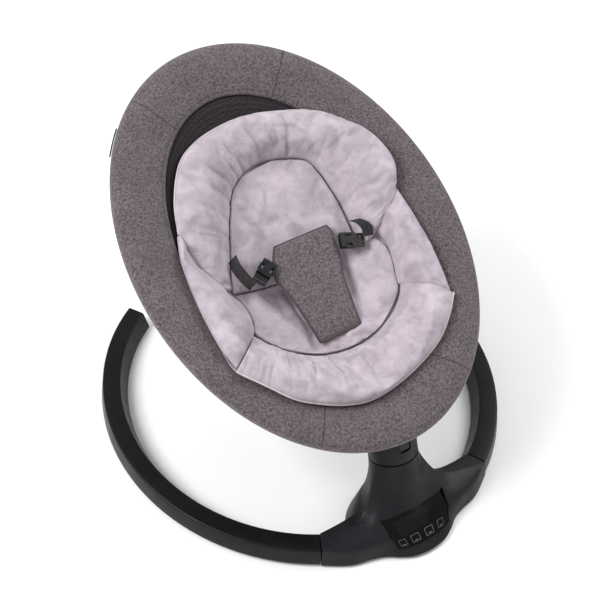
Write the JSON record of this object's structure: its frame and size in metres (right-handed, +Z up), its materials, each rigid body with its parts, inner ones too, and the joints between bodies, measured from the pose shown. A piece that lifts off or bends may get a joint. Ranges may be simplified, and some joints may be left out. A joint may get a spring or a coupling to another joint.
{
  "type": "baby swing",
  "caption": "Oval fabric baby seat with quilted insert and buckled crotch pad, swinging side to side on a leaning neck above a C-shaped floor ring with a motor housing.",
  "frame": {"origin": "on the floor, at the centre of the overall box", "axes": "+Z up, -Y towards the foot end and the control panel, +X to the seated child's left"},
  "size_m": [0.6374, 0.69, 0.486],
  "materials": {
    "black_air_mesh": "knitted air mesh",
    "black_gloss_lens": "polished gloss",
    "black_satin_plastic": "moulded satin black",
    "black_webbing": "woven webbing",
    "bright_steel": "ground",
    "buckle_acetal": "moulded satin acetal",
    "charcoal_plastic": "moulded matte charcoal",
    "enamelled_copper": "enamelled winding",
    "foot_rubber": "moulded matte",
    "green_board": "solder mask",
    "grey_inner_plastic": "moulded matte",
    "grey_lilac_velour": "plush velour",
    "grey_melange_cloth": "woven melange",
    "taupe_melange_cloth": "woven melange"
  },
  "bodies": {
    "base": {"arm_end_cap_left": "black_satin_plastic", "arm_end_cap_right": "black_satin_plastic", "arm_joint_bar_left": "bright_steel", "arm_joint_bar_right": "bright_steel", "base_arm_left": "black_satin_plastic", "base_arm_right": "black_satin_plastic", "bearing_bracket": "grey_inner_plastic", "control_board": "green_board", "dc_inlet": "buckle_acetal", "display_module": "grey_inner_plastic", "drive_coil": "enamelled_copper", "foot_front": "foot_rubber", "foot_middle_left": "foot_rubber", "foot_middle_right": "foot_rubber", "foot_rear_left": "foot_rubber", "foot_rear_right": "foot_rubber", "housing_bottom_cover": "grey_inner_plastic", "housing_screw_left": "bright_steel", "housing_screw_right": "bright_steel", "housing_shell": "charcoal_plastic", "lower_bearing": "bright_steel", "panel_lens": "black_gloss_lens", "speaker_driver": "grey_inner_plastic", "upper_bearing": "bright_steel"},
    "swing_arm": {"neck_collar": "charcoal_plastic", "swing_shaft": "bright_steel", "shaft_circlip": "bright_steel", "magnet_lever": "grey_inner_plastic", "drive_magnet": "bright_steel", "recline_pin": "bright_steel"},
    "seat": {"seat_bracket": "grey_inner_plastic", "rim_tube_head": "bright_steel", "rim_tube_foot": "bright_steel", "tube_joiner_left": "grey_inner_plastic", "tube_joiner_right": "grey_inner_plastic", "seat_cover_band": "taupe_melange_cloth", "mesh_ring": "black_air_mesh", "seat_sling": "taupe_melange_cloth", "toy_bar_socket_left": "buckle_acetal", "toy_bar_socket_right": "buckle_acetal", "head_bolster": "grey_lilac_velour", "lower_bolster": "grey_lilac_velour", "side_wing_left": "grey_lilac_velour", "side_wing_right": "grey_lilac_velour", "back_pad": "grey_lilac_velour", "seat_pad": "grey_lilac_velour", "crotch_pad": "grey_melange_cloth", "waist_strap_left": "black_webbing", "waist_strap_right": "black_webbing", "buckle_socket_left": "buckle_acetal", "buckle_socket_right": "buckle_acetal", "buckle_tongue_left": "buckle_acetal", "buckle_tongue_right": "buckle_acetal"},
    "recline_button": {"recline_button": "buckle_acetal"},
    "buckle_release_left_a": {"buckle_release_left_a": "buckle_acetal"},
    "buckle_release_left_b": {"buckle_release_left_b": "buckle_acetal"},
    "buckle_release_right_a": {"buckle_release_right_a": "buckle_acetal"},
    "buckle_release_right_b": {"buckle_release_right_b": "buckle_acetal"}
  },
  "joints": [
    {"name": "swing_pivot", "type": "hinge", "parent": "base", "child": "swing_arm", "pos_m": [0, -0.2327, 0.1146], "axis": [0, 0.342, 0.9397], "range_deg": [-15, 15]},
    {"name": "seat_recline", "type": "hinge", "parent": "swing_arm", "child": "seat", "pos_m": [0, -0.22039, 0.14843], "axis": [1, 0, 0], "range_deg": [-8, 8]},
    {"name": "recline_button_press", "type": "slide", "parent": "swing_arm", "child": "recline_button", "axis": [0, 0.9397, -0.342], "range_m": [0, 0.004], "stiffness_N_per_m": 400, "springref_m": -0.002},
    {"name": "buckle_release_left_a_press", "type": "slide", "parent": "seat", "child": "buckle_release_left_a", "axis": [0.5446, -0.757, -0.3611], "range_m": [0, 0.0014], "stiffness_N_per_m": 500, "springref_m": -0.001},
    {"name": "buckle_release_left_b_press", "type": "slide", "parent": "seat", "child": "buckle_release_left_b", "axis": [-0.5446, 0.757, 0.3611], "range_m": [0, 0.0014], "stiffness_N_per_m": 500, "springref_m": -0.001},
    {"name": "buckle_release_right_a_press", "type": "slide", "parent": "seat", "child": "buckle_release_right_a", "axis": [0.342, 0.8482, 0.4046], "range_m": [0, 0.0014], "stiffness_N_per_m": 500, "springref_m": -0.001},
    {"name": "buckle_release_right_b_press", "type": "slide", "parent": "seat", "child": "buckle_release_right_b", "axis": [-0.342, -0.8482, -0.4046], "range_m": [0, 0.0014], "stiffness_N_per_m": 500, "springref_m": -0.001}
  ]
}
